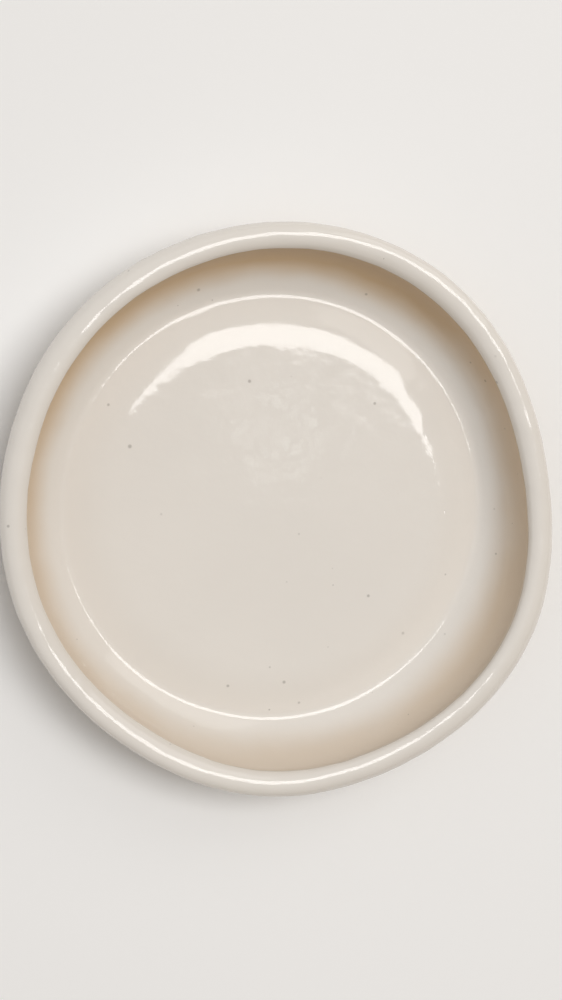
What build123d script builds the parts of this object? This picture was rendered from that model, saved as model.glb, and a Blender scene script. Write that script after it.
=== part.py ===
"""A shallow, round, hand-built stoneware dish with a thick rolled lip, under one coat of glaze.

Millimetres, +Z up. The origin is on the table, under the middle of the floor. Overall sizes are
taken over the glaze. Five clay members are scored, slipped and pressed together (floor slab, wall
ring, lip coil, cove coil and foot ring), and the glaze covers them down to a line above the foot.
"""

import os
from math import acos, asin, cos, degrees, radians, sin, sqrt, tan

from build123d import *

# --- driving dimensions, over the glaze -------------------------------------------------------
rim_radius = 57.5           # mean radius at the widest part of the lip
dish_depth = 14.6           # lip crest down to the crease around the floor
lip_width = 5.3             # thickness of the rolled lip
lip_outer_radius = 2.4      # rounding of the lip's outer side
lip_inner_radius = 1.6      # rounding of its inner side
lip_outer_turn = 64.0       # degrees above outwards, where the outer rounding meets the crown's
lip_inner_turn = 126.4      # degrees above outwards, where the crown's meets the inner rounding
undercut = 0.5              # how far the wall stands back under the lip
undercut_radius = 4.0       # the hollow between the lip and the wall
wall_lean = 12.0            # degrees, both faces of the wall lean in this much towards the foot
crease_rise = 24.0          # degrees, how steeply the cove leaves the crease
crease_fillet = 3.0         # the tight hollow of the crease itself
floor_slope = 14.0          # degrees, the floor's outer band falls this much towards the crease
slope_width = 3.9           # width of that band
bend_radius = 25.0          # rounding between the band and the flat middle of the floor

# --- clay and glaze ---------------------------------------------------------------------------
floor_thickness = 3.4       # clay under the crease
base_corner = 4.5           # rounding of the slab's lower edge
glaze = 0.5                 # thickness of the coat
glaze_line = 5.2            # height above the table where the coat stops outside

# --- foot ring --------------------------------------------------------------------------------
foot_height = 2.0           # from the table to the slab
foot_width = 4.4            # at the table
foot_inset = 2.6            # foot's outer edge inside the edge of the slab's flat underside
foot_draft = 0.5            # each side of the foot widens this much towards the slab
foot_seat = 0.7             # depth of the groove in the slab that the foot is pressed into
base_hollow = 0.8           # how far the underside rises in the middle

# --- joints between the clay members ----------------------------------------------------------
slab_rebate = 0.9           # the slab's edge is this much lower, to seat the wall and the cove
lip_coil_height = 5.3       # lip coil, from its crest down to the inside of its seat
lip_seat_angle = 15.0       # degrees, the lip coil's seat falls this much outwards
cove_coil_height = 5.4      # cove coil, from the crease up the wall
cove_coil_edge = 0.9        # thickness of the cove coil's upper edge
wall_foot_width = 4.2       # thickness of the wall where it stands on the slab

# --- how far the hand-shaped rim is out of round ----------------------------------------------
# lobes around the rim, swing in or out at the lip, direction of the first lobe in degrees
rim_lobes = [(2, 1.00, -130), (3, 0.50, -140), (4, 0.30, -117), (5, 0.30, -113), (6, 0.15, 173)]
crest_lobes = (2, 0.7, 100)  # the same for the crest, which leans out and in over the lip
hoop_points = 24            # points on each hoop of the surface
hoop_spacing = 1.0          # from hoop to hoop along the section
reach = 10.0                # how far a cutting shape stands clear of the clay


def outward(angle):
    """A unit step in the half section, at an angle in degrees above straight outwards."""
    return Vector(cos(radians(angle)), sin(radians(angle)))


# --- places that follow from the sizes --------------------------------------------------------
base_z = foot_height
crease_z = base_z + floor_thickness + glaze
overall_height = crease_z + dish_depth

# the lip's top is one broad arc, the crown, between its outer and inner roundings
crown_out = outward(lip_outer_turn)
crown_in = outward(lip_inner_turn)
crown_span = lip_width - lip_outer_radius * (1 - crown_out.X) - lip_inner_radius * (1 + crown_in.X)
crown_radius = crown_span / (crown_out.X - crown_in.X)
crown_height = overall_height - crown_radius
outer_centre = Vector(rim_radius - lip_outer_radius,
                      crown_height + (crown_radius - lip_outer_radius) * crown_out.Y)
crown_centre = outer_centre - (crown_radius - lip_outer_radius) * crown_out
inner_centre = crown_centre + (crown_radius - lip_inner_radius) * crown_in

blend_reach = lip_inner_radius + undercut_radius
blend_angle = degrees(acos(1 - undercut / blend_reach))
blend_centre = inner_centre - blend_reach * outward(blend_angle)
wall_top = blend_centre + undercut_radius * outward(-wall_lean)

# the cove runs in one arc from the wall down to the crease fillet
cove_end = crease_rise - 90
fall = wall_top.Y - crease_z - crease_fillet * (1 + outward(cove_end).Y)
cove_radius = fall / (outward(-wall_lean).Y - outward(cove_end).Y)
cove_centre = wall_top - cove_radius * outward(-wall_lean)
crease_centre = cove_centre + (cove_radius - crease_fillet) * outward(cove_end)
crease_radius = crease_centre.X

slope_angle = -90 - floor_slope
slope_low = crease_centre + crease_fillet * outward(slope_angle)
slope_high = slope_low + slope_width * Vector(-1, tan(radians(floor_slope)))
bend_centre = slope_high + bend_radius * outward(slope_angle)
floor_z = bend_centre.Y + bend_radius
flat_radius = bend_centre.X

out = outward(-wall_lean)
corner_z = base_z + base_corner
corner_reach = outer_centre.dot(out) + lip_outer_radius - glaze - base_corner
corner_centre = Vector((corner_reach - corner_z * out.Y) / out.X, corner_z)

seat_z = crease_z - glaze - slab_rebate
foot_outer = corner_centre.X - foot_inset
foot_inner = foot_outer - foot_width


# --- the dish's surface -----------------------------------------------------------------------
def section(skin, start):
    """Half a section of the dish, from outside the foot over the lip to the floor's flat middle.

    skin is how deep the surface lies under the face of the glaze, and start is the height where
    the section begins.
    """
    corner = base_corner + glaze - skin
    lip = lip_outer_radius - skin
    first = degrees(asin((start - corner_centre.Y) / corner))
    return [
        CenterArc(corner_centre, corner, first, -wall_lean - first),
        Line(corner_centre + corner * out, outer_centre + lip * out),
        CenterArc(outer_centre, lip, -wall_lean, wall_lean + lip_outer_turn),
        CenterArc(crown_centre, crown_radius - skin, lip_outer_turn, lip_inner_turn - lip_outer_turn),
        CenterArc(inner_centre, lip_inner_radius - skin, lip_inner_turn,
                  180 + blend_angle - lip_inner_turn),
        CenterArc(blend_centre, undercut_radius + skin, blend_angle, -wall_lean - blend_angle),
        CenterArc(cove_centre, cove_radius + skin, -wall_lean, cove_end + wall_lean),
        CenterArc(crease_centre, crease_fillet + skin, cove_end, slope_angle - cove_end),
        Line(slope_low + skin * outward(slope_angle), slope_high + skin * outward(slope_angle)),
        CenterArc(bend_centre, bend_radius - skin, 90 - floor_slope, floor_slope),
    ]


def out_of_round(angle, height):
    """How far the surface is pushed outwards: nothing at the slab, all of it at the lip."""
    rise = min(max((height - seat_z) / (outer_centre.Y - seat_z), 0), 1)
    share = rise * rise * (3 - 2 * rise)
    push = share * sum(swing * cos(lobes * angle - radians(turn)) for lobes, swing, turn in rim_lobes)
    lobes, swing, turn = crest_lobes
    top = max(height - outer_centre.Y, 0) / lip_outer_radius
    return push + top * swing * cos(lobes * angle - radians(turn))


def hoop(radius, height):
    """One closed hoop of the surface."""
    points = []
    for step in range(hoop_points):
        angle = radians(360 * step / hoop_points)
        reach_out = radius + out_of_round(angle, height)
        points.append((reach_out * cos(angle), reach_out * sin(angle), height))
    return Wire([Edge.make_spline(points, periodic=True)])


def dish(skin, start):
    """The solid inside the surface that lies skin under the face of the glaze."""
    stretches = section(skin, start)
    places = [stretches[0] @ 0]
    for stretch in stretches:
        steps = max(1, round(stretch.length / hoop_spacing))
        places += [stretch @ (step / steps) for step in range(1, steps + 1)]
    return Solid.make_loft([hoop(place.X, place.Y) for place in places])


def turned(*corners):
    """A solid of revolution, from the corners of half its section."""
    half = Polyline(*[(r, 0, z) for r, z in corners], close=True)
    return revolve(make_face(half), Axis.Z)


# --- the clay members -------------------------------------------------------------------------
far = rim_radius + reach
above = overall_height + reach
lip_seat_z = overall_height - lip_coil_height
lip_seat_outer_z = lip_seat_z - (far - wall_top.X) * tan(radians(lip_seat_angle))
cove_top_z = crease_z + cove_coil_height
cove_drop = cove_centre.Y - cove_top_z
cove_face = cove_centre.X + sqrt((cove_radius + glaze) ** 2 - cove_drop**2)
wall_outer = corner_centre.X + base_corner
wall_inner = wall_outer - wall_foot_width

clay = dish(glaze, base_z)


def floor_slab():
    """The floor: a slab with a slightly raised middle, rebated around its edge for the wall."""
    keep = turned((0, 0), (far, 0), (far, seat_z), (crease_radius, seat_z),
                  (crease_radius, above), (0, above))
    hollow_radius = (foot_inner**2 + base_hollow**2) / (2 * base_hollow)
    hollow = Pos(0, 0, base_z + base_hollow - hollow_radius) * Sphere(hollow_radius)
    return clay & (keep - foot_ring() - hollow)


def wall_ring():
    """The wall: a strip bent round and stood on the slab, cut back inside for the cove coil."""
    keep = turned((wall_inner, seat_z), (far, seat_z), (far, lip_seat_outer_z),
                  (wall_top.X, lip_seat_z), (crease_radius, lip_seat_z), (crease_radius, cove_top_z),
                  (cove_face + cove_coil_edge, cove_top_z))
    return clay & keep


def cove_coil():
    """The cove: a coil pressed into the corner of wall and floor, and smoothed hollow."""
    keep = turned((crease_radius, seat_z), (wall_inner, seat_z),
                  (cove_face + cove_coil_edge, cove_top_z), (crease_radius, cove_top_z))
    return clay & keep


def lip_coil():
    """The lip: a thick coil pressed down on the wall's bevelled edge and rounded over."""
    keep = turned((crease_radius, lip_seat_z), (wall_top.X, lip_seat_z), (far, lip_seat_outer_z),
                  (far, above), (crease_radius, above))
    return clay & keep


def foot_ring():
    """The foot: a low ring with drafted sides, let into a groove under the slab."""
    top_z = base_z + foot_seat
    return turned((foot_inner, 0), (foot_outer, 0), (foot_outer + foot_draft, base_z),
                  (foot_outer + foot_draft, top_z), (foot_inner - foot_draft, top_z),
                  (foot_inner - foot_draft, base_z))


def glaze_coat():
    """The glaze: one fused coat over the inside, the lip and the outside down to its line."""
    return dish(0, glaze_line) - clay


pieces = {
    "floor_slab": floor_slab(),
    "wall_ring": wall_ring(),
    "lip_coil": lip_coil(),
    "cove_coil": cove_coil(),
    "foot_ring": foot_ring(),
    "glaze_coat": glaze_coat(),
}

os.makedirs("parts", exist_ok=True)
for name, piece in pieces.items():
    export_step(piece, f"parts/{name}.step")
    box = piece.bounding_box()
    print(f"{name}: {piece.volume:.0f} mm3, {box.size.X:.2f} x {box.size.Y:.2f} x {box.size.Z:.2f} mm")
print(f"crease at radius {crease_radius:.2f}, height {crease_z:.2f}")
print(f"flat of the floor to radius {flat_radius:.2f}, height {floor_z:.2f}")
print(f"foot from radius {foot_inner:.2f} to {foot_outer:.2f}")
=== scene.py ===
"""A shallow, round, hand-built stoneware dish with a thick rolled lip, under a glossy ivory glaze.

The coat of glaze and the foot ring are turned shapes: each is half a section made of straight runs,
and in the coat of arcs too, turned about the dish's axis and then made a little uneven. The clay
members inside the coat keep their own meshes and are given the same bare clay as the foot.
"""

from math import cos, pi, radians, sin, tan

import bmesh
import bpy
from bpy.props import FloatProperty, FloatVectorProperty, IntProperty, PointerProperty
from bpy.types import Operator, Panel, PropertyGroup
from mathutils import Matrix, Vector


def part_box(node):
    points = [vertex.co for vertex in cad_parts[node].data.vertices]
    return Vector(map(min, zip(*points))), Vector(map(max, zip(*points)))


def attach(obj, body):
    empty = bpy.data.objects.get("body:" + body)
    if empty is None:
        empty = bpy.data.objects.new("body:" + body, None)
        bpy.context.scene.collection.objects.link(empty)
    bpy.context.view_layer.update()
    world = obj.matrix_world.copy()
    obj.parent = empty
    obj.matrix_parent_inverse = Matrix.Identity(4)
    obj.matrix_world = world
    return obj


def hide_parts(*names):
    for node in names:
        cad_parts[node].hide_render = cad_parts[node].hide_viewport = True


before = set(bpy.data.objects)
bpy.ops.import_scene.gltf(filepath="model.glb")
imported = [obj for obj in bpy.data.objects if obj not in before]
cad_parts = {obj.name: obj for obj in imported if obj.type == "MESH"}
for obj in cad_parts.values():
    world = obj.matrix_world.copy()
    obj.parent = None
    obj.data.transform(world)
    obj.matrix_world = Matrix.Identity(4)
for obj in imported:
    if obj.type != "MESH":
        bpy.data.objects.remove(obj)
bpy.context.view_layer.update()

bl_info = {
    "name": "Hand-built bonsai dish",
    "version": (1, 0, 0),
    "blender": (4, 5, 0),
    "location": "3D View > Sidebar > Dish",
    "description": "Turns a glazed stoneware dish, its clay foot and a plain studio",
    "category": "Add Mesh",
}

MM = 0.001
GLAZE_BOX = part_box("glaze_coat")
SLAB_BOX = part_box("floor_slab")
FOOT_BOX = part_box("foot_ring")

# lobes around the rim, swing in or out at the lip in metres, phase in degrees
RIM_LOBES = (
    (2, 1.00 * MM, -130),
    (3, 0.50 * MM, -140),
    (4, 0.30 * MM, -117),
    (5, 0.30 * MM, -113),
    (6, 0.15 * MM, 173),
)
# the same for the lip's crest, which leans out and in
CREST_LOBES = (2, 0.7 * MM, 100)


# --- settings ---------------------------------------------------------------------------------


def length(name, value, description):
    """A size in metres that the panel shows."""
    return FloatProperty(
        name=name, default=value, min=0, unit="LENGTH", precision=5, description=description
    )


def tilt(name, value, description):
    """An angle that the panel shows in degrees."""
    return FloatProperty(name=name, default=radians(value), subtype="ANGLE", description=description)


def position(name, value, description):
    """A place along an axis in metres, of either sign."""
    return FloatProperty(name=name, default=value, unit="LENGTH", description=description)


def power(name, value, description):
    """A light's power in watts."""
    return FloatProperty(name=name, default=value, min=0, unit="POWER", description=description)


def tint(name, value, description):
    """A colour that the panel shows."""
    return FloatVectorProperty(
        name=name, default=value, size=3, min=0, max=1, subtype="COLOR", description=description
    )


class DishShape(PropertyGroup):
    """Sizes of the dish, over the glaze."""

    rim_radius: length("Rim radius", 57.5 * MM, "Mean radius at the widest part of the lip")
    height: length("Height", 20.5 * MM, "Table to the crest of the lip")
    depth: length("Depth", 14.6 * MM, "Crest of the lip down to the crease around the floor")
    lip_width: length("Lip width", 5.3 * MM, "Thickness of the rolled lip")
    lip_outer: length("Lip outer", 2.4 * MM, "Rounding of the lip's outer side")
    lip_inner: length("Lip inner", 1.6 * MM, "Rounding of its inner side")
    outer_turn: tilt("Outer turn", 64, "Where the outer rounding meets the crown's")
    inner_turn: tilt("Inner turn", 126.4, "Where the crown's rounding meets the inner one")
    undercut: length("Undercut", 0.5 * MM, "How far the wall stands back under the lip")
    undercut_radius: length("Undercut radius", 4 * MM, "Hollow between the lip and the wall")
    wall_lean: tilt("Wall lean", 12, "How much the wall leans in towards the foot")
    crease_rise: tilt("Crease rise", 24, "How steeply the cove leaves the crease")
    crease_fillet: length("Crease fillet", 3 * MM, "Tight hollow of the crease itself")
    floor_slope: tilt("Floor slope", 14, "Fall of the floor's outer band towards the crease")
    slope_width: length("Slope width", 3.9 * MM, "Width of that sloping band")
    bend_radius: length("Bend radius", 25 * MM, "Rounding between the band and the flat middle")
    foot_width: length("Foot width", 4.4 * MM, "Thickness of the foot ring where it stands")
    foot_draft: length("Foot draft", 0.5 * MM, "How much each side of it widens upwards")
    base_corner: length("Base corner", 4.5 * MM, "Rounding of the slab's lower edge")
    thickness: length("Glaze thickness", 0.5 * MM, "Thickness of the coat of glaze")
    glaze_line: length("Glaze line", GLAZE_BOX[0].z, "Height above the table where the coat stops")


class HandWork(PropertyGroup):
    """How uneven the maker's hands have left the surface."""

    lobes: FloatProperty(
        name="Out of round", default=1, min=0, max=2, description="Share of the lobes"
    )
    sway: length("Sway", 0.16 * MM, "Slow unevenness of the whole surface")
    ripple: length("Ripple", 0.14 * MM, "Finger marks along the lip")
    line_wander: length("Line wander", 0.5 * MM, "How far the glaze line strays up and down")
    seed: IntProperty(name="Seed", default=7, description="Which set of marks")
    around: IntProperty(name="Around", default=384, min=24, description="Faces around the dish")


class DishColours(PropertyGroup):
    """Colours of the glaze and the bare clay."""

    glaze: tint("Glaze", (0.84, 0.80, 0.748), "Ivory of the glaze")
    # painted shade: a tan mixed onto the steep wall under the lip, where the lip shades it
    painted_wall_shade: tint("Painted wall shade", (0.66, 0.485, 0.30), "Painted shade on the steep wall under the lip")
    speck: tint("Speck", (0.10, 0.075, 0.055), "Iron specks under the glaze")
    glaze_edge: tint("Glaze edge", (0.60, 0.47, 0.34), "Glaze where it runs out at its lower line")
    clay: tint("Clay", (0.68, 0.585, 0.46), "Fired clay under the foot")
    clay_dark: tint("Dark clay", (0.52, 0.42, 0.31), "Grog and scorched clay")


class Studio(PropertyGroup):
    """Camera, lights and the surface that the dish stands on."""

    distance: length("Camera distance", 380 * MM, "Camera to the middle of the rim")
    lens: FloatProperty(
        name="Lens", default=67.96, min=1, unit="CAMERA", description="Focal length"
    )
    sideways: tilt("Sideways tilt", -11.1, "Camera's lean from straight above along X")
    upwards: tilt("Upwards tilt", 5.84, "Camera's lean from straight above along Y")
    aim_x: position("Aim X", -0.93 * MM, "Middle of the view along X")
    aim_y: position("Aim Y", 2.71 * MM, "Middle of the view along Y")
    key_power: power("Key", 11.5, "Long overhead softbox")
    window_power: power("Window", 3, "Soft side light")
    lamp_power: power("Lamp", 0.012, "Small lamp overhead")
    sky: FloatProperty(
        name="Sky", default=0.49, min=0, description="Strength of the light from all around"
    )
    horizon: tint("Horizon", (0.44, 0.35, 0.25), "Warm, dim surroundings at table height")


# --- arithmetic on node sockets ---------------------------------------------------------------


class Value:
    """A number inside a node tree, so that a rule there reads as plain arithmetic."""

    def __init__(self, tree, socket):
        self.tree = tree
        self.socket = socket

    def math(self, operation, *others):
        """This value and others through one Math node."""
        node = self.tree.nodes.new("ShaderNodeMath")
        node.operation = operation
        for socket, value in zip(node.inputs, (self, *others)):
            feed(self.tree, value, socket)
        return Value(self.tree, node.outputs[0])

    def __add__(self, other):
        return self.math("ADD", other)

    def __radd__(self, other):
        return self.math("ADD", other)

    def __sub__(self, other):
        return self.math("SUBTRACT", other)

    def __rsub__(self, other):
        return (self * -1) + other

    def __mul__(self, other):
        return self.math("MULTIPLY", other)

    def __rmul__(self, other):
        return self.math("MULTIPLY", other)

    def __truediv__(self, other):
        return self.math("DIVIDE", other)

    def __neg__(self):
        return self * -1

    def sin(self):
        return self.math("SINE")

    def cos(self):
        return self.math("COSINE")


def feed(tree, value, socket):
    """Gives a socket a Value, another socket, or a plain number, tuple or object."""
    if isinstance(value, Value):
        tree.links.new(value.socket, socket)
    elif isinstance(value, bpy.types.NodeSocket):
        tree.links.new(value, socket)
    else:
        socket.default_value = value


def make(tree, kind, settings=None, **values):
    """One node. Settings are its own options, and values go to the inputs that they name."""
    node = tree.nodes.new(kind)
    for name, option in (settings or {}).items():
        setattr(node, name, option)
    for name, value in values.items():
        feed(tree, value, socket_named(node, name))
    return node


def socket_named(node, name):
    """The enabled input whose name, in lower case with underscores, is this."""
    for socket in node.inputs:
        if socket.enabled and socket.name.lower().replace(" ", "_") == name:
            return socket
    raise KeyError(f"{node.bl_idname} has no input {name}")


def vector(tree, x, y, z):
    """A vector socket from three numbers."""
    return make(tree, "ShaderNodeCombineXYZ", x=x, y=y, z=z).outputs[0]


def split(tree, source):
    """The three numbers of a vector socket."""
    node = make(tree, "ShaderNodeSeparateXYZ", vector=source)
    return [Value(tree, socket) for socket in node.outputs]


def scaled(tree, source, factor):
    """A vector socket times a number."""
    node = make(
        tree, "ShaderNodeVectorMath", {"operation": "SCALE"}, vector=source, scale=factor
    )
    return node.outputs["Vector"]


def added(tree, first, second):
    """The sum of two vector sockets."""
    node = make(tree, "ShaderNodeVectorMath", {"operation": "ADD"})
    feed(tree, first, node.inputs[0])
    feed(tree, second, node.inputs[1])
    return node.outputs["Vector"]


def ranged(tree, value, low, high, out_low=0.0, out_high=1.0):
    """A value eased from one range into another and held inside it."""
    node = make(
        tree,
        "ShaderNodeMapRange",
        {"interpolation_type": "SMOOTHSTEP"},
        value=value,
        from_min=low,
        from_max=high,
        to_min=out_low,
        to_max=out_high,
    )
    return Value(tree, node.outputs[0])


def from_axis(x, y):
    """The distance of a point from the dish's axis."""
    return (x * x + y * y).math("SQRT")


def around_wave(angle, lobes, phase):
    """A wave with this many crests around the dish, moved on by a phase in degrees."""
    return (angle * lobes - radians(phase)).cos()


def inputs_of(tree, given):
    """The named inputs of a tree, as values."""
    return {socket.name: Value(tree, socket) for socket in given.outputs if socket.name}


# --- geometry node trees ----------------------------------------------------------------------

# the rim's lobes die out downwards, and are gone at this height over the slab's underside
WALL_SEAT = 2.5 * MM
# the finger marks die out over this height below the lip's rounding
MARKS_FADE = 3 * MM
# the glaze line's wander dies out over this height above the line
LINE_FADE = 3 * MM
# low on the coat, what is further from the axis than this is its outside
OUTSIDE_RADIUS = 49.5 * MM
# how far the hand's marks run along the surface before they change
SWAY_WAVE = 22 * MM
MARKS_WAVE = 5 * MM
LINE_WAVE = 9 * MM
CLAY_WAVE = 14 * MM
# added to the seed, so that the finger marks differ from the sway
MARKS_SEED = 3

# points along each run of the coat's face and of its back, both from the middle of the floor out
FACE_POINTS = (16, 14, 8, 7, 28, 8, 14, 9, 14, 16, 6)
BACK_POINTS = (5, 4, 3, 3, 8, 3, 5, 4, 5, 5, 3)
# points along the bead at the coat's lower edge
BEAD_POINTS = 7
# points along the foot ring's sides, from the side that it stands on, and each half of a corner
FOOT_POINTS = (6, 5, 3, 4, 3, 5)
CORNER_POINTS = 3
# points that an arc is drawn with before it is sampled
ARC_POINTS = 96

# how far a clay corner is eased back along its sides, and the share of that cut off its middle
CORNER_EASE = 0.35 * MM
CORNER_CUT = 0.28
# the clay's sway, which lifts nothing that is lower than this, so that the foot stands flat
CLAY_SWAY = 0.05 * MM
STANDING = 0.5 * MM
# stretches join where their ends are this close, and edges shorter than the sliver are dissolved
WELD = 0.004 * MM
SLIVER = 0.001 * MM


def new_tree(name, inputs):
    """An empty geometry tree with these named inputs, its input node and its output node."""
    tree = bpy.data.node_groups.new(name, "GeometryNodeTree")
    kinds = {"Geometry": "NodeSocketGeometry", "Material": "NodeSocketMaterial"}
    for label, default in inputs.items():
        kind = kinds.get(label, "NodeSocketInt" if isinstance(default, int) else "NodeSocketFloat")
        socket = tree.interface.new_socket(label, in_out="INPUT", socket_type=kind)
        if default is not None:
            socket.default_value = default
    tree.interface.new_socket("Geometry", in_out="OUTPUT", socket_type="NodeSocketGeometry")
    return tree, tree.nodes.new("NodeGroupInput"), tree.nodes.new("NodeGroupOutput")


def turned_stretch():
    """The shared tree that turns one stretch of a section about the vertical axis."""
    name = "Turned stretch"
    if name in bpy.data.node_groups:
        return bpy.data.node_groups[name]
    tree, given, result = new_tree(name, {"Geometry": None, "Around": 384, "Along": 8})
    rows = Value(tree, given.outputs["Around"]) + 1
    grid = make(
        tree,
        "GeometryNodeMeshGrid",
        size_x=1,
        size_y=1,
        vertices_x=rows,
        vertices_y=given.outputs["Along"],
    )
    here = split(tree, make(tree, "GeometryNodeInputPosition").outputs[0])
    sample = make(
        tree,
        "GeometryNodeSampleCurve",
        {"mode": "FACTOR"},
        curves=given.outputs["Geometry"],
        factor=here[1] + 0.5,
    )
    radius, _, height = split(tree, sample.outputs["Position"])
    angle = here[0] * (2 * pi)
    turned = vector(tree, radius * angle.cos(), radius * angle.sin(), height)
    moved = make(tree, "GeometryNodeSetPosition", geometry=grid.outputs["Mesh"], position=turned)
    tree.links.new(moved.outputs[0], result.inputs[0])
    return tree


class Section:
    """Half a section in a geometry tree, drawn stretch by stretch and turned about the axis."""

    def __init__(self, tree, around):
        self.tree = tree
        self.around = around
        self.meshes = []

    def turn(self, curve, along):
        """Turns one stretch of the section, with this many points along it."""
        node = self.tree.nodes.new("GeometryNodeGroup")
        node.node_tree = turned_stretch()
        feed(self.tree, curve, node.inputs["Geometry"])
        feed(self.tree, self.around, node.inputs["Around"])
        feed(self.tree, along, node.inputs["Along"])
        self.meshes.append(node.outputs[0])

    def line(self, start, end, along):
        """A straight run between two points, each a radius and a height."""
        curve = make(
            self.tree,
            "GeometryNodeCurvePrimitiveLine",
            start=vector(self.tree, start[0], 0, start[1]),
            end=vector(self.tree, end[0], 0, end[1]),
        )
        self.turn(curve.outputs[0], along)

    def arc(self, centre, radius, start, sweep, along):
        """An arc about a centre, from an angle above the outward level, through a sweep."""
        curve = make(
            self.tree,
            "GeometryNodeCurveArc",
            {"mode": "RADIUS"},
            resolution=ARC_POINTS,
            radius=radius,
            start_angle=start,
            sweep_angle=sweep,
        )
        upright = make(
            self.tree,
            "GeometryNodeTransform",
            geometry=curve.outputs[0],
            translation=vector(self.tree, centre[0], 0, centre[1]),
            rotation=(pi / 2, 0, 0),
        )
        self.turn(upright.outputs[0], along)

    def joined(self):
        """All the stretches as one closed mesh."""
        join = self.tree.nodes.new("GeometryNodeJoinGeometry")
        for mesh in self.meshes:
            self.tree.links.new(mesh, join.inputs[0])
        merged = make(
            self.tree, "GeometryNodeMergeByDistance", geometry=join.outputs[0], distance=WELD
        )
        return merged.outputs[0]


def outward(angle):
    """A unit step in the half section, at an angle above straight outwards."""
    return angle.cos(), angle.sin()


def stepped(start, distance, direction):
    """A point in the half section, moved a distance in a direction."""
    return start[0] + distance * direction[0], start[1] + distance * direction[1]


def glaze_section(size, section):
    """The coat's face from the middle of the floor out over the lip, then its back to the middle."""
    outer, inner = size["Lip outer"], size["Lip inner"]
    crown_start, crown_end = size["Outer turn"], size["Inner turn"]
    crown_out, crown_in = outward(crown_start), outward(crown_end)
    span = size["Lip width"] - outer * (1 - crown_out[0]) - inner * (1 + crown_in[0])
    crown = span / (crown_out[0] - crown_in[0])
    outer_at = (size["Rim radius"] - outer, size["Height"] - crown + (crown - outer) * crown_out[1])
    crown_at = stepped(outer_at, outer - crown, crown_out)
    inner_at = stepped(crown_at, crown - inner, crown_in)

    reach = inner + size["Undercut radius"]
    blend = (1 - size["Undercut"] / reach).math("ARCCOSINE")
    blend_at = stepped(inner_at, -reach, outward(blend))
    lean = size["Wall lean"]
    leaning = outward(-lean)
    wall_top = stepped(blend_at, size["Undercut radius"], leaning)

    cove_end = size["Crease rise"] - pi / 2
    rising = outward(cove_end)
    crease_z = size["Height"] - size["Depth"]
    fall = wall_top[1] - crease_z - size["Crease fillet"] * (rising[1] + 1)
    cove = fall / (leaning[1] - rising[1])
    cove_at = stepped(wall_top, -cove, leaning)
    crease_at = stepped(cove_at, cove - size["Crease fillet"], rising)
    slope_angle = -pi / 2 - size["Floor slope"]
    falling = outward(slope_angle)
    slope_low = stepped(crease_at, size["Crease fillet"], falling)
    slope_tan = size["Floor slope"].math("TANGENT")
    slope_high = (slope_low[0] - size["Slope width"], slope_low[1] + size["Slope width"] * slope_tan)
    bend_at = stepped(slope_high, size["Bend radius"], falling)

    corner = size["Base corner"] + size["Thickness"]
    corner_z = size["Foot height"] + size["Base corner"]
    corner_reach = outer_at[0] * leaning[0] + outer_at[1] * leaning[1] + outer - corner
    corner_at = ((corner_reach - corner_z * leaning[1]) / leaning[0], corner_z)
    line_angle = ((size["Glaze line"] - corner_z) / corner).math("ARCSINE")

    def face(skin, points, way):
        """One face of the coat, skin deep: outwards with way 1, and back with way -1."""
        level = bend_at[1] + size["Bend radius"] - skin
        lip = outer - skin
        rounded = corner - skin
        runs = [
            ("line", (0, level), (bend_at[0], level)),
            ("arc", bend_at, size["Bend radius"] - skin, pi / 2, -size["Floor slope"]),
            ("line", stepped(slope_high, skin, falling), stepped(slope_low, skin, falling)),
            ("arc", crease_at, size["Crease fillet"] + skin, slope_angle, cove_end - slope_angle),
            ("arc", cove_at, cove + skin, cove_end, -lean - cove_end),
            ("arc", blend_at, size["Undercut radius"] + skin, -lean, blend + lean),
            ("arc", inner_at, inner - skin, blend + pi, crown_end - blend - pi),
            ("arc", crown_at, crown - skin, crown_end, crown_start - crown_end),
            ("arc", outer_at, lip, crown_start, -lean - crown_start),
            ("line", stepped(outer_at, lip, leaning), stepped(corner_at, rounded, leaning)),
            ("arc", corner_at, rounded, -lean, line_angle + lean),
        ]
        for (shape, *parts), along in list(zip(runs, points))[::way]:
            if shape == "line":
                section.line(*parts[::way], along)
            elif way == 1:
                section.arc(*parts, along)
            else:
                centre, radius, start, sweep = parts
                section.arc(centre, radius, start + sweep, -sweep, along)

    half = size["Thickness"] / 2
    face(0, FACE_POINTS, 1)
    # the coat's lower edge is a rounded bead
    bead_at = stepped(corner_at, corner - half, outward(line_angle))
    section.arc(bead_at, half, line_angle, -pi, BEAD_POINTS)
    face(size["Thickness"], BACK_POINTS, -1)


def out_of_round(tree, angle, height, low, high, share):
    """How far the rim's lobes push a point outwards: nothing at the slab, all of it at the lip."""
    rise = ranged(tree, height, low, high)
    total = rise * 0
    for lobes, swing, phase in RIM_LOBES:
        total = total + around_wave(angle, lobes, phase) * swing
    return rise * share * total


def drift(tree, here, wavelength, most, seed):
    """A smooth shift of at most this much either way, alike on both faces of a thin coat."""
    clouds = make(
        tree,
        "ShaderNodeTexNoise",
        {"noise_dimensions": "4D"},
        vector=scaled(tree, here, 1 / wavelength),
        w=seed,
        scale=1,
        detail=1,
        roughness=0.4,
    )
    centred = added(tree, clouds.outputs["Color"], (-0.5, -0.5, -0.5))
    return scaled(tree, centred, most * 2)


def finish_tree(tree, result, mesh, material):
    """Smooth shading, real instances and the material."""
    smooth = make(tree, "GeometryNodeSetShadeSmooth", geometry=mesh)
    real = make(tree, "GeometryNodeRealizeInstances", geometry=smooth.outputs[0])
    done = make(tree, "GeometryNodeSetMaterial", geometry=real.outputs[0], material=material)
    tree.links.new(done.outputs[0], result.inputs[0])


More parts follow.
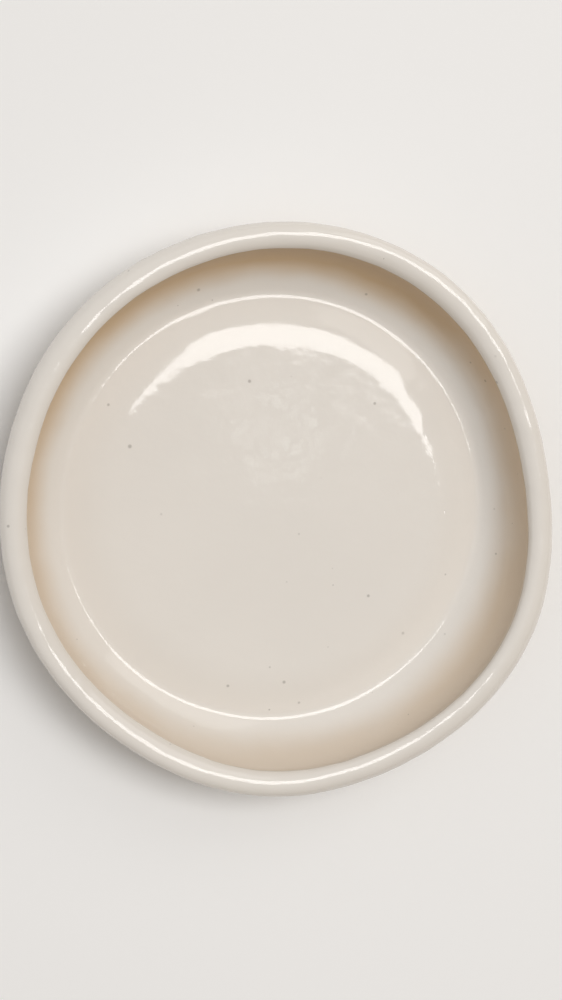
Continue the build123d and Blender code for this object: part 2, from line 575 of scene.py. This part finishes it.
def glaze_tree(shape, hand):
    """The tree that turns the coat of glaze and gives it the marks of the hand."""
    tree, given, result = new_tree(
        "Glaze coat",
        {
            "Rim radius": shape.rim_radius,
            "Height": shape.height,
            "Depth": shape.depth,
            "Lip width": shape.lip_width,
            "Lip outer": shape.lip_outer,
            "Lip inner": shape.lip_inner,
            "Outer turn": shape.outer_turn,
            "Inner turn": shape.inner_turn,
            "Undercut": shape.undercut,
            "Undercut radius": shape.undercut_radius,
            "Crease rise": shape.crease_rise,
            "Crease fillet": shape.crease_fillet,
            "Floor slope": shape.floor_slope,
            "Slope width": shape.slope_width,
            "Bend radius": shape.bend_radius,
            "Wall lean": shape.wall_lean,
            "Base corner": shape.base_corner,
            "Thickness": shape.thickness,
            "Glaze line": shape.glaze_line,
            "Foot height": SLAB_BOX[0].z,
            "Out of round": hand.lobes,
            "Sway": hand.sway,
            "Ripple": hand.ripple,
            "Line wander": hand.line_wander,
            "Seed": float(hand.seed),
            "Around": hand.around,
            "Material": None,
        },
    )
    size = inputs_of(tree, given)
    section = Section(tree, size["Around"])
    glaze_section(size, section)
    mesh = section.joined()

    here = make(tree, "GeometryNodeInputPosition").outputs[0]
    x, y, z = split(tree, here)
    angle = y.math("ARCTAN2", x)
    lip_z = size["Height"] - size["Lip outer"]
    seat_z = SLAB_BOX[0].z + WALL_SEAT
    push = out_of_round(tree, angle, z, seat_z, lip_z, size["Out of round"])
    lobes, swing, phase = CREST_LOBES
    top = ((z - lip_z) / size["Lip outer"]).math("MAXIMUM", 0)
    push = push + top * around_wave(angle, lobes, phase) * swing * size["Out of round"]
    lobed = vector(tree, angle.cos() * push, angle.sin() * push, 0)
    sway = drift(tree, here, SWAY_WAVE, size["Sway"], size["Seed"])
    near_lip = ranged(tree, z, lip_z - MARKS_FADE, lip_z)
    ripple = drift(tree, here, MARKS_WAVE, size["Ripple"] * near_lip, size["Seed"] + MARKS_SEED)

    # the lower edge strays up and down, and less and less up the wall
    edge = ranged(tree, z, size["Glaze line"], size["Glaze line"] + LINE_FADE, 1, 0)
    outside = from_axis(x, y).math("GREATER_THAN", OUTSIDE_RADIUS)
    stray = split(tree, drift(tree, here, LINE_WAVE, size["Line wander"], size["Seed"]))[2]
    lifted = vector(tree, 0, 0, stray * edge * outside)

    shift = added(tree, added(tree, lobed, sway), added(tree, ripple, lifted))
    moved = make(tree, "GeometryNodeSetPosition", geometry=mesh, offset=shift)
    finish_tree(tree, result, moved.outputs[0], size["Material"])
    return tree


def clay_tree(name, corners, hand, points):
    """A tree that turns a closed ring of clay with straight sides and slightly eased corners."""
    tree, given, result = new_tree(
        name,
        {
            "Ease": CORNER_EASE,
            "Sway": CLAY_SWAY,
            "Seed": float(hand.seed),
            "Around": hand.around,
            "Material": None,
        },
    )
    size = inputs_of(tree, given)
    section = Section(tree, size["Around"])
    ease = size["Ease"]
    count = len(corners)
    ends = []
    for spot in range(count):
        before, here, after = (Vector(corners[(spot + step) % count]) for step in (-1, 0, 1))
        into = (here - before).normalized()
        out = (after - here).normalized()
        begin = (here.x - ease * into.x, here.y - ease * into.y)
        finish = (here.x + ease * out.x, here.y + ease * out.y)
        middle = tuple(here[axis] - ease * CORNER_CUT * (into[axis] - out[axis]) for axis in (0, 1))
        section.line(begin, middle, CORNER_POINTS)
        section.line(middle, finish, CORNER_POINTS)
        ends.append((begin, finish))
    for spot in range(count):
        section.line(ends[spot][1], ends[(spot + 1) % count][0], points[spot])
    mesh = section.joined()
    here = make(tree, "GeometryNodeInputPosition").outputs[0]
    sway_x, sway_y, sway_z = split(tree, drift(tree, here, CLAY_WAVE, size["Sway"], size["Seed"]))
    raised = split(tree, here)[2].math("GREATER_THAN", STANDING)
    shift = vector(tree, sway_x, sway_y, sway_z * raised)
    moved = make(tree, "GeometryNodeSetPosition", geometry=mesh, offset=shift)
    finish_tree(tree, result, moved.outputs[0], size["Material"])
    return tree


def foot_tree(shape, hand):
    """The foot ring's tree: a ring with drafted sides, its shoulders at the slab's underside."""
    shoulder = SLAB_BOX[0].z
    outer_top, _, top = FOOT_BOX[1]
    outer = outer_top - shape.foot_draft
    inner = outer - shape.foot_width
    inner_top = inner - shape.foot_draft
    corners = [
        (inner, 0),
        (outer, 0),
        (outer_top, shoulder),
        (outer_top, top),
        (inner_top, top),
        (inner_top, shoulder),
    ]
    return clay_tree("Foot ring", corners, hand, FOOT_POINTS)


def grown(name, tree, material):
    """A plain mesh object from a geometry tree, its normals outwards."""
    blank = bpy.data.objects.new(name + "_blank", bpy.data.meshes.new(name + "_blank"))
    bpy.context.scene.collection.objects.link(blank)
    modifier = blank.modifiers.new("Shape", "NODES")
    modifier.node_group = tree
    for socket in tree.interface.items_tree:
        if socket.in_out == "INPUT" and socket.socket_type == "NodeSocketMaterial":
            modifier[socket.identifier] = material
        elif socket.in_out == "INPUT" and socket.socket_type != "NodeSocketGeometry":
            modifier[socket.identifier] = socket.default_value
    depsgraph = bpy.context.evaluated_depsgraph_get()
    mesh = bpy.data.meshes.new_from_object(blank.evaluated_get(depsgraph), depsgraph=depsgraph)
    bpy.data.objects.remove(blank)
    mesh.name = name
    if not mesh.polygons:
        raise RuntimeError(f"{name} came out empty")
    faces = bmesh.new()
    faces.from_mesh(mesh)
    bmesh.ops.dissolve_degenerate(faces, dist=SLIVER, edges=faces.edges)
    bmesh.ops.recalc_face_normals(faces, faces=faces.faces)
    faces.to_mesh(mesh)
    faces.free()
    mesh.materials.clear()
    mesh.materials.append(material)
    piece = bpy.data.objects.new(name, mesh)
    bpy.context.scene.collection.objects.link(piece)
    return piece


# --- shader groups and materials --------------------------------------------------------------

# parts of the noise's range that are stretched to the full one: for clouds and patches, for the
# clay's grain, and for what changes more softly
CLOUDY = (0.35, 0.65)
GRITTY = (0.35, 0.7)
SOFT = (0.3, 0.7)
# how far each kind of unevenness runs over the surface
CLOUD_WAVE = 30 * MM
WALL_SHADE_WAVE = 14 * MM
EDGE_WAVE = 7 * MM
GLOSS_WAVE = 6 * MM
SURFACE_WAVE = 8 * MM
PATCH_WAVE = 16 * MM
GRAIN_WAVE = 0.5 * MM
LUMP_WAVE = 1.8 * MM
TABLE_WAVE = 250 * MM

# the glaze's clouds: how strong they are, and their shade against the glaze
CLOUD_SHARE = 0.5
CLOUD_SHADE = 0.975
# the painted shade on the steep wall: distances from the axis where it starts and is full, and where
# it starts to end and has ended further out, how far those wander, and heights where it fades out
WALL_SHADE_START = (46 * MM, 52.5 * MM)
WALL_SHADE_END = (54 * MM, 55.5 * MM)
WALL_SHADE_WANDER = 2.5 * MM
WALL_SHADE_FADE = (15.5 * MM, 18.5 * MM)
# the painted shade's strength, evenly around the dish and added towards +Y, where the wall faces
# away from the key light
WALL_SHADE_EVEN = 0.78
WALL_SHADE_SIDE = 0.36
# the browner edge at the glaze line: where the outside begins, how far up the edge reaches and
# wanders, and how strong it is
EDGE_RADIUS = 50 * MM
EDGE_FADE = 1.1 * MM
EDGE_WANDER = 1.2 * MM
EDGE_SHARE = 0.5
# the glaze's roughness from its glossiest to its dullest, and its waves' and pinholes' depth
GLOSS = (0.07, 0.12)
WAVE_HEIGHT = 0.17 * MM
PINHOLE_DEPTH = 0.05 * MM

# the clay's patches and grain: how strong they are, and the grain's shade against the clay
PATCH_SHARE = 0.35
GRAIN_SHARE = 0.25
GRAIN_SHADE = 1.3
# its roughness from its smoothest to its roughest, and heights of lines, grain and lumps
MATT = (0.78, 0.95)
LINE_HEIGHT = 0.012 * MM
GRAIN_HEIGHT = 0.05 * MM
LUMP_HEIGHT = 0.06 * MM
# distance between the turning lines, and how far they stray, in radians of that
LINE_SPACING = 0.9 * MM
LINE_STRAY = 5

# each kind of dot: how far apart, how big, how many of the cells have one, and how soft its edge is
FINE_SPECKS = {"spacing": 4.5 * MM, "size": 0.26 * MM, "share": 0.8, "softness": 0.5}
LARGE_SPECKS = {"spacing": 15 * MM, "size": 0.38 * MM, "share": 0.3, "softness": 0.4}
PINHOLES = {"spacing": 9 * MM, "size": 0.2 * MM, "share": 0.3, "softness": 0.6}
CLAY_SPECKS = {"spacing": 2.6 * MM, "size": 0.17 * MM, "share": 0.5, "softness": 0.4}
# a dot has at least the first share of its size, and the largest have the second share more
DOT_LEAST = 0.4
DOT_SPREAD = 1.2
# how dark each kind of speck is
FINE_DEPTH = 0.38
LARGE_DEPTH = 0.75
CLAY_DEPTH = 0.8


def shader_group(name, inputs, outputs):
    """An empty shader group with named inputs and outputs, its input node and its output node."""
    group = bpy.data.node_groups.new(name, "ShaderNodeTree")
    for label, default in inputs.items():
        kind = "NodeSocketColor" if isinstance(default, tuple) else "NodeSocketFloat"
        socket = group.interface.new_socket(label, in_out="INPUT", socket_type=kind)
        socket.default_value = default
    for label, kind in outputs.items():
        group.interface.new_socket(label, in_out="OUTPUT", socket_type=kind)
    return group, group.nodes.new("NodeGroupInput"), group.nodes.new("NodeGroupOutput")


def object_place(tree):
    """The point being shaded, in metres."""
    return tree.nodes.new("ShaderNodeTexCoord").outputs["Object"]


def specks_group():
    """Sparse dark dots of uneven size, as iron specks show through a glaze or in a clay."""
    name = "Iron specks"
    if name in bpy.data.node_groups:
        return bpy.data.node_groups[name]
    group, given, result = shader_group(
        name,
        {"Spacing": 4 * MM, "Size": 0.2 * MM, "Share": 0.4, "Softness": 0.3},
        {"Mask": "NodeSocketFloat"},
    )
    setting = inputs_of(group, given)
    spacing = setting["Spacing"]
    cells = make(
        group,
        "ShaderNodeTexVoronoi",
        {"feature": "F1", "distance": "EUCLIDEAN"},
        vector=object_place(group),
        scale=(spacing * 0 + 1) / spacing,
        randomness=1,
    )
    away = Value(group, cells.outputs["Distance"]) * spacing
    # each cell's colour is random: red picks the cells that have a dot, and green sizes the dot
    red, green, _ = split(group, cells.outputs["Color"])
    size = setting["Size"] * (green * green * DOT_SPREAD + DOT_LEAST)
    dot = ranged(group, away / size, 1 + setting["Softness"], 1 - setting["Softness"])
    chosen = red.math("LESS_THAN", setting["Share"])
    feed(group, dot * chosen, result.inputs["Mask"])
    return group


def specks(tree, settings):
    """The mask of one kind of dot, from the shared group with its own settings."""
    node = make(tree, "ShaderNodeGroup", {"node_tree": specks_group()}, **settings)
    return Value(tree, node.outputs[0])


def mixed(tree, share, first, second):
    """Two colours mixed, with this share of the second."""
    node = tree.nodes.new("ShaderNodeMix")
    node.data_type = "RGBA"
    node.clamp_factor = True
    feed(tree, share, node.inputs["Factor"])
    feed(tree, first, node.inputs[6])
    feed(tree, second, node.inputs[7])
    return node.outputs[2]


def opaque(colour, shade=1.0):
    """A colour with full alpha, made darker or lighter by a shade."""
    return (*(min(1, part * shade) for part in colour), 1.0)


def noise(tree, wavelength, detail=2, roughness=0.5, offset=0.0):
    """Noise of a wavelength in metres over the object, from 0 to 1."""
    moved = added(tree, object_place(tree), (offset, offset, offset))
    node = make(
        tree,
        "ShaderNodeTexNoise",
        vector=moved,
        scale=1 / wavelength,
        detail=detail,
        roughness=roughness,
    )
    return Value(tree, node.outputs[0])


def empty_material(name):
    """A material with one Principled shader, and that shader."""
    material = bpy.data.materials.new(name)
    material.use_nodes = True
    tree = material.node_tree
    return material, tree, tree.nodes["Principled BSDF"]


def glaze_material(colours):
    """Glossy ivory glaze: faint clouding, iron specks, pinholes and a slightly wavy gloss."""
    material, tree, shader = empty_material("Ivory glaze")
    clouds = ranged(tree, noise(tree, CLOUD_WAVE, 3), *CLOUDY) * CLOUD_SHARE
    body = mixed(tree, clouds, opaque(colours.glaze), opaque(colours.glaze, CLOUD_SHADE))
    # painted shade: the steep wall under the lip is made darker and tan, where the lip shades it
    x, y, z = split(tree, object_place(tree))
    away = from_axis(x, y) + (noise(tree, WALL_SHADE_WAVE) - 0.5) * WALL_SHADE_WANDER
    inside = ranged(tree, away, *WALL_SHADE_END, 1, 0)
    wall = ranged(tree, away, *WALL_SHADE_START)
    under_lip = ranged(tree, z, *WALL_SHADE_FADE, 1, 0)
    # painted shade, stronger towards +Y, where the wall faces away from the key light
    side = y / away * WALL_SHADE_SIDE + WALL_SHADE_EVEN
    body = mixed(tree, wall * inside * under_lip * side, body, opaque(colours.painted_wall_shade))
    # the coat is thinnest, and so browner, where it runs out above the foot
    line_z = GLAZE_BOX[0].z + noise(tree, EDGE_WAVE, 2) * EDGE_WANDER
    outside = away.math("GREATER_THAN", EDGE_RADIUS)
    thin = ranged(tree, z - line_z, 0, EDGE_FADE, EDGE_SHARE, 0) * outside
    body = mixed(tree, thin, body, opaque(colours.glaze_edge))
    body = mixed(tree, specks(tree, FINE_SPECKS) * FINE_DEPTH, body, opaque(colours.speck))
    body = mixed(tree, specks(tree, LARGE_SPECKS) * LARGE_DEPTH, body, opaque(colours.speck))
    feed(tree, body, shader.inputs["Base Color"])
    gloss = ranged(tree, noise(tree, GLOSS_WAVE, 3, offset=0.05), *SOFT, *GLOSS)
    feed(tree, gloss, shader.inputs["Roughness"])
    shader.inputs["IOR"].default_value = 1.5
    waves = noise(tree, SURFACE_WAVE, 3, 0.45, offset=0.02)
    relief = waves * WAVE_HEIGHT - specks(tree, PINHOLES) * PINHOLE_DEPTH
    bump = make(tree, "ShaderNodeBump", strength=1, distance=1, height=relief)
    feed(tree, bump.outputs[0], shader.inputs["Normal"])
    return material


def clay_material(colours):
    """Bare fired stoneware: gritty, matt, with grog, specks and faint turning lines."""
    material, tree, shader = empty_material("Bare stoneware")
    patches = ranged(tree, noise(tree, PATCH_WAVE, 3), *CLOUDY) * PATCH_SHARE
    body = mixed(tree, patches, opaque(colours.clay), opaque(colours.clay_dark))
    grain = ranged(tree, noise(tree, GRAIN_WAVE, 3, 0.7), *GRITTY)
    body = mixed(tree, grain * GRAIN_SHARE, body, opaque(colours.clay, GRAIN_SHADE))
    body = mixed(tree, specks(tree, CLAY_SPECKS) * CLAY_DEPTH, body, opaque(colours.speck))
    feed(tree, body, shader.inputs["Base Color"])
    feed(tree, ranged(tree, grain, 0, 1, *MATT), shader.inputs["Roughness"])
    shader.inputs["Specular IOR Level"].default_value = 0.3
    x, y, _ = split(tree, object_place(tree))
    stray = noise(tree, SURFACE_WAVE) * LINE_STRAY
    lines = (from_axis(x, y) * (2 * pi / LINE_SPACING) + stray).sin()
    lumps = noise(tree, LUMP_WAVE, 2)
    relief = lines * LINE_HEIGHT + grain * GRAIN_HEIGHT + lumps * LUMP_HEIGHT
    bump = make(tree, "ShaderNodeBump", strength=0.8, distance=1, height=relief)
    feed(tree, bump.outputs[0], shader.inputs["Normal"])
    return material


def table_material():
    """The plain pale surface that the dish stands on."""
    material, tree, shader = empty_material("Pale table")
    tone = ranged(tree, noise(tree, TABLE_WAVE), *SOFT)
    pale = mixed(tree, tone, (0.94, 0.94, 0.94, 1), (0.96, 0.96, 0.96, 1))
    feed(tree, pale, shader.inputs["Base Color"])
    shader.inputs["Roughness"].default_value = 0.9
    return material


def shared_material(name, builder, colours):
    """The material of that name, built the first time that it is asked for."""
    return bpy.data.materials.get(name) or builder(colours)


# --- studio -----------------------------------------------------------------------------------

# each light: its name, place and size in metres, turn in degrees, power setting and colour
LIGHTS = (
    ("key", (0.34, 0.31, 1.5), (0.94, 0.56), -12, "key_power", (1, 0.99, 0.975)),
    ("window", (0.9, 0.9, 1.1), (0.9, 0.9), -45, "window_power", (1, 0.98, 0.95)),
    ("lamp", (0.29, -0.08, 1.5), (0.04, 0.04), 0, "lamp_power", (0.95, 1, 0.97)),
)
# how far the sky's bright part leans along X and Y, and how high up it starts and is full, as
# shares of straight up
SKY_LEAN = (-0.55, 0.3)
SKY_FADE = (0.45, 0.95)
# from the middle of the table top to its sides, in metres
TABLE_HALF = 1.5


def set_camera(context, studio, shape):
    """The camera, nearly straight above the dish, its top towards +Y."""
    middle = Vector((studio.aim_x, studio.aim_y, shape.height - shape.lip_width / 2))
    back = Vector((tan(studio.sideways), tan(studio.upwards), 1)).normalized()
    right = Vector((0, 1, 0)).cross(back).normalized()
    up = back.cross(right)
    camera = bpy.data.cameras.new("camera")
    camera.lens = studio.lens
    camera.sensor_width = 36
    camera.clip_start = 0.01
    holder = bpy.data.objects.new("camera", camera)
    turn = Matrix((right, up, back)).transposed().to_quaternion()
    holder.matrix_world = Matrix.LocRotScale(middle + back * studio.distance, turn, None)
    context.scene.collection.objects.link(holder)
    context.scene.camera = holder


def aimed_light(context, name, spot, size, turn, watts, colour):
    """A rectangular soft light that faces the dish, its first side turned in degrees from +X."""
    light = bpy.data.lights.new(name, "AREA")
    light.shape = "RECTANGLE"
    light.size, light.size_y = size
    light.energy = watts
    light.color = colour
    holder = bpy.data.objects.new(name, light)
    facing = Vector(spot).normalized()
    across = Vector((cos(radians(turn)), sin(radians(turn)), 0))
    across = (across - facing * across.dot(facing)).normalized()
    basis = Matrix((across, facing.cross(across), facing)).transposed()
    holder.matrix_world = Matrix.LocRotScale(Vector(spot), basis.to_quaternion(), None)
    context.scene.collection.objects.link(holder)


def set_lights(context, studio):
    """A long overhead softbox, a broad window light, a small lamp, and a sky, warm low down."""
    for name, spot, size, turn, setting, colour in LIGHTS:
        aimed_light(context, name, spot, size, turn, getattr(studio, setting), colour)
    world = bpy.data.worlds.new("sky")
    world.use_nodes = True
    tree = world.node_tree
    backdrop = tree.nodes["Background"]
    east, north, upward = split(tree, tree.nodes.new("ShaderNodeTexCoord").outputs["Generated"])
    overhead = ranged(tree, upward + east * SKY_LEAN[0] + north * SKY_LEAN[1], *SKY_FADE)
    feed(tree, mixed(tree, overhead, opaque(studio.horizon), (1, 1, 1, 1)), backdrop.inputs["Color"])
    backdrop.inputs["Strength"].default_value = studio.sky
    context.scene.world = world
    context.scene.view_settings.view_transform = "Standard"


def set_table(context):
    """A plain pale table top, well past the view."""
    mesh = bpy.data.meshes.new("table_top")
    corners = [(x * TABLE_HALF, y * TABLE_HALF, 0) for x, y in ((-1, -1), (1, -1), (1, 1), (-1, 1))]
    mesh.from_pydata(corners, [], [(0, 1, 2, 3)])
    mesh.materials.append(table_material())
    table = bpy.data.objects.new("table_top", mesh)
    context.scene.collection.objects.link(table)


# --- operators --------------------------------------------------------------------------------


class DISH_OT_glaze(Operator):
    """Turn the coat of glaze"""

    bl_idname = "dish.glaze"
    bl_label = "Glaze coat"

    def execute(self, context):
        scene = context.scene
        material = shared_material("Ivory glaze", glaze_material, scene.dish_colours)
        tree = glaze_tree(scene.dish_shape, scene.hand_work)
        piece = grown("glaze_skin", tree, material)
        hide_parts("glaze_coat")
        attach(piece, "root")
        return {"FINISHED"}


class DISH_OT_foot(Operator):
    """Turn the foot ring"""

    bl_idname = "dish.foot"
    bl_label = "Foot ring"

    def execute(self, context):
        scene = context.scene
        material = shared_material("Bare stoneware", clay_material, scene.dish_colours)
        piece = grown("turned_foot", foot_tree(scene.dish_shape, scene.hand_work), material)
        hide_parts("foot_ring")
        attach(piece, "root")
        return {"FINISHED"}


class DISH_OT_clay_members(Operator):
    """Give the clay members inside the coat their finish"""

    bl_idname = "dish.clay_members"
    bl_label = "Clay members"

    def execute(self, context):
        material = shared_material("Bare stoneware", clay_material, context.scene.dish_colours)
        for name in ("floor_slab", "wall_ring", "lip_coil", "cove_coil"):
            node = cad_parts[name]
            node.data.materials.clear()
            node.data.materials.append(material)
        return {"FINISHED"}


class DISH_OT_stage(Operator):
    """Set the camera, the lights and the pale table"""

    bl_idname = "dish.stage"
    bl_label = "Studio"

    def execute(self, context):
        studio = context.scene.dish_studio
        set_camera(context, studio, context.scene.dish_shape)
        set_lights(context, studio)
        set_table(context)
        return {"FINISHED"}


# --- panel and registration -------------------------------------------------------------------


class DISH_PT_panel(Panel):
    """Sizes, colours and steps of the dish"""

    bl_idname = "DISH_PT_panel"
    bl_label = "Bonsai dish"
    bl_space_type = "VIEW_3D"
    bl_region_type = "UI"
    bl_category = "Dish"

    def draw(self, context):
        for group in ("dish_shape", "hand_work", "dish_colours", "dish_studio"):
            settings = getattr(context.scene, group)
            box = self.layout.box()
            for name in settings.__annotations__:
                box.prop(settings, name)
        for step in STEPS:
            self.layout.operator(step.bl_idname)


STEPS = (DISH_OT_stage, DISH_OT_glaze, DISH_OT_foot, DISH_OT_clay_members)
SETTINGS = {
    "dish_shape": DishShape,
    "hand_work": HandWork,
    "dish_colours": DishColours,
    "dish_studio": Studio,
}


def register():
    """Registers the classes and adds their settings to the scene."""
    for part in (*SETTINGS.values(), *STEPS, DISH_PT_panel):
        bpy.utils.register_class(part)
    for name, group in SETTINGS.items():
        setattr(bpy.types.Scene, name, PointerProperty(type=group))


def unregister():
    """Takes the settings and the classes away again."""
    for name in SETTINGS:
        delattr(bpy.types.Scene, name)
    for part in (DISH_PT_panel, *reversed(STEPS), *reversed(list(SETTINGS.values()))):
        bpy.utils.unregister_class(part)


def main():
    """Builds the whole dish."""
    register()
    bpy.ops.dish.stage()
    bpy.ops.dish.glaze()
    bpy.ops.dish.foot()
    bpy.ops.dish.clay_members()


if __name__ == "__main__":
    main()
